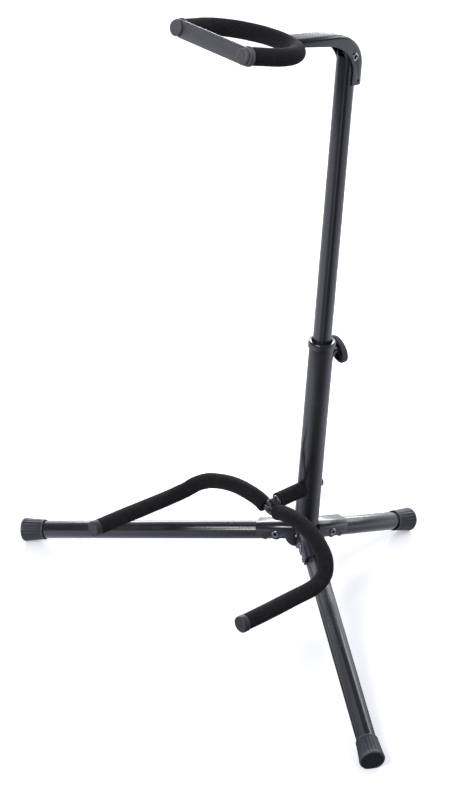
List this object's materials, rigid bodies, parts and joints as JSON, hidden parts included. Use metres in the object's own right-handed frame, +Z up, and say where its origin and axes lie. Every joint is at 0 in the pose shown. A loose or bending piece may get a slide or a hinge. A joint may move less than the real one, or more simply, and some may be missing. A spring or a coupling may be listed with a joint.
{
  "type": "guitar stand",
  "caption": "Folding black steel tripod guitar stand with a telescopic upper tube, a foam covered body yoke and a folding neck holder closed by a safety strap.",
  "frame": {"origin": "under the middle of the whole stand, on the floor", "axes": "+Z up; -Y is the stand's front, where the guitar's body and neck rest; +X is the right as seen by someone standing in front of the stand and looking at it, towards +Y"},
  "size_m": [0.551, 0.3424, 0.6482],
  "materials": {
    "paint": "satin black enamel",
    "bright": "plain steel",
    "plastic": "black moulded plastic",
    "cap": "grey moulded plastic",
    "foam": "matt closed-cell foam",
    "rubber": "dark grey rubber"
  },
  "bodies": {
    "column": {"leg_hub": "paint", "lower_tube": "paint", "column_collar": "paint", "leg_bracket_front_left": "paint", "leg_rivet_front_left": "bright", "leg_bracket_front_right": "paint", "leg_rivet_front_right": "bright", "leg_bracket_rear": "paint", "leg_rivet_rear": "bright", "yoke_bolt": "paint", "yoke_nut": "plastic", "yoke_spacer": "paint", "spacer_foam": "foam", "yoke_washer": "bright", "yoke_lock_nut": "paint", "clamp_boss": "paint"},
    "leg_front_left": {"leg_tube_front_left": "paint", "foot_front_left": "rubber"},
    "leg_front_right": {"leg_tube_front_right": "paint", "foot_front_right": "rubber"},
    "leg_rear": {"leg_tube_rear": "paint", "foot_rear": "rubber"},
    "yoke": {"yoke_rod": "paint", "yoke_foam_right": "foam", "yoke_foam_left": "foam", "yoke_tip_right": "cap", "yoke_tip_left": "cap"},
    "clamp_screw": {"clamp_screw": "bright"},
    "clamp_knob": {"clamp_knob": "plastic"},
    "glide": {"upper_tube_glide": "plastic"},
    "upper_tube": {"upper_tube": "paint", "neck_rivet": "bright"},
    "neck_holder": {"neck_bracket": "paint", "neck_rod": "paint", "neck_foam_right": "foam", "neck_foam_left": "foam", "neck_flange_right": "cap", "neck_button_right": "plastic", "neck_flange_left": "cap", "neck_button_left": "plastic"},
    "strap": {"neck_strap": "rubber"}
  },
  "joints": [
    {"name": "leg_fold_front_left", "type": "hinge", "parent": "column", "child": "leg_front_left", "pos_m": [-0.02484, 0.00295, 0.06091], "axis": [0.5, -0.8596, 0.1055], "range_deg": [0, 76]},
    {"name": "leg_fold_front_right", "type": "hinge", "parent": "column", "child": "leg_front_right", "pos_m": [0.02484, 0.00295, 0.06091], "axis": [0.5, 0.8596, -0.1055], "range_deg": [0, 76]},
    {"name": "leg_fold_rear", "type": "hinge", "parent": "column", "child": "leg_rear", "pos_m": [0, 0.04566, 0.05567], "axis": [-1, 0, 0], "range_deg": [0, 76]},
    {"name": "yoke_swivel", "type": "hinge", "parent": "column", "child": "yoke", "pos_m": [0, 0.02422, 0.11642], "axis": [0, -0.9986, 0.0523], "range_deg": [-90, 90]},
    {"name": "clamp_travel", "type": "slide", "parent": "column", "child": "clamp_screw", "axis": [0, 0.9925, -0.1219], "range_m": [0, 0.0025]},
    {"name": "clamp_turn", "type": "hinge", "parent": "clamp_screw", "child": "clamp_knob", "pos_m": [0, 0.06265, 0.26202], "axis": [0, 0.9925, -0.1219], "range_deg": [0, 720]},
    {"name": "height_slide", "type": "slide", "parent": "column", "child": "glide", "axis": [0, 0.1219, 0.9925], "range_m": [-0.088, 0.036]},
    {"name": "upper_tube_turn", "type": "hinge", "parent": "glide", "child": "upper_tube", "pos_m": [0, 0.08083, 0.57746], "axis": [0, 0.1219, 0.9925], "continuous": true},
    {"name": "neck_fold", "type": "hinge", "parent": "upper_tube", "child": "neck_holder", "pos_m": [0, 0.08083, 0.57746], "axis": [1, 0, 0], "range_deg": [0, 90]},
    {"name": "strap_swing", "type": "hinge", "parent": "neck_holder", "child": "strap", "pos_m": [0.04559, -0.08528, 0.63972], "axis": [0, 0.9588, -0.284], "range_deg": [0, 110]}
  ],
  "couplings": [
    {"joint": "clamp_travel", "follows": "clamp_turn", "m_per_rad": 0.00019894}
  ]
}
